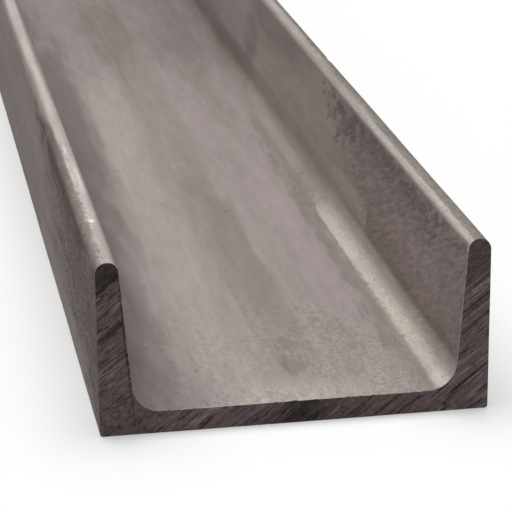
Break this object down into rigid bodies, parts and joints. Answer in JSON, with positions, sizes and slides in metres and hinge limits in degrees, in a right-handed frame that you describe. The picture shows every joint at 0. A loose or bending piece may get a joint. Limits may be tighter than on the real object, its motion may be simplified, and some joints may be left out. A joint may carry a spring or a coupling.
{
  "type": "steel u-channel",
  "caption": "Straight length of hot-rolled U-channel with tapered flanges, rounded toes and square sawn ends, for frames, rails and beams.",
  "frame": {"origin": "middle of the back of the web, half way along the length", "axes": "+Z from the back of the web towards the toes, +Y along the length, +X across the section"},
  "size_m": [0.12, 1, 0.055],
  "materials": {
    "mill_scale_steel": "satin"
  },
  "bodies": {
    "root": {"u_channel": "mill_scale_steel"}
  },
  "joints": []
}
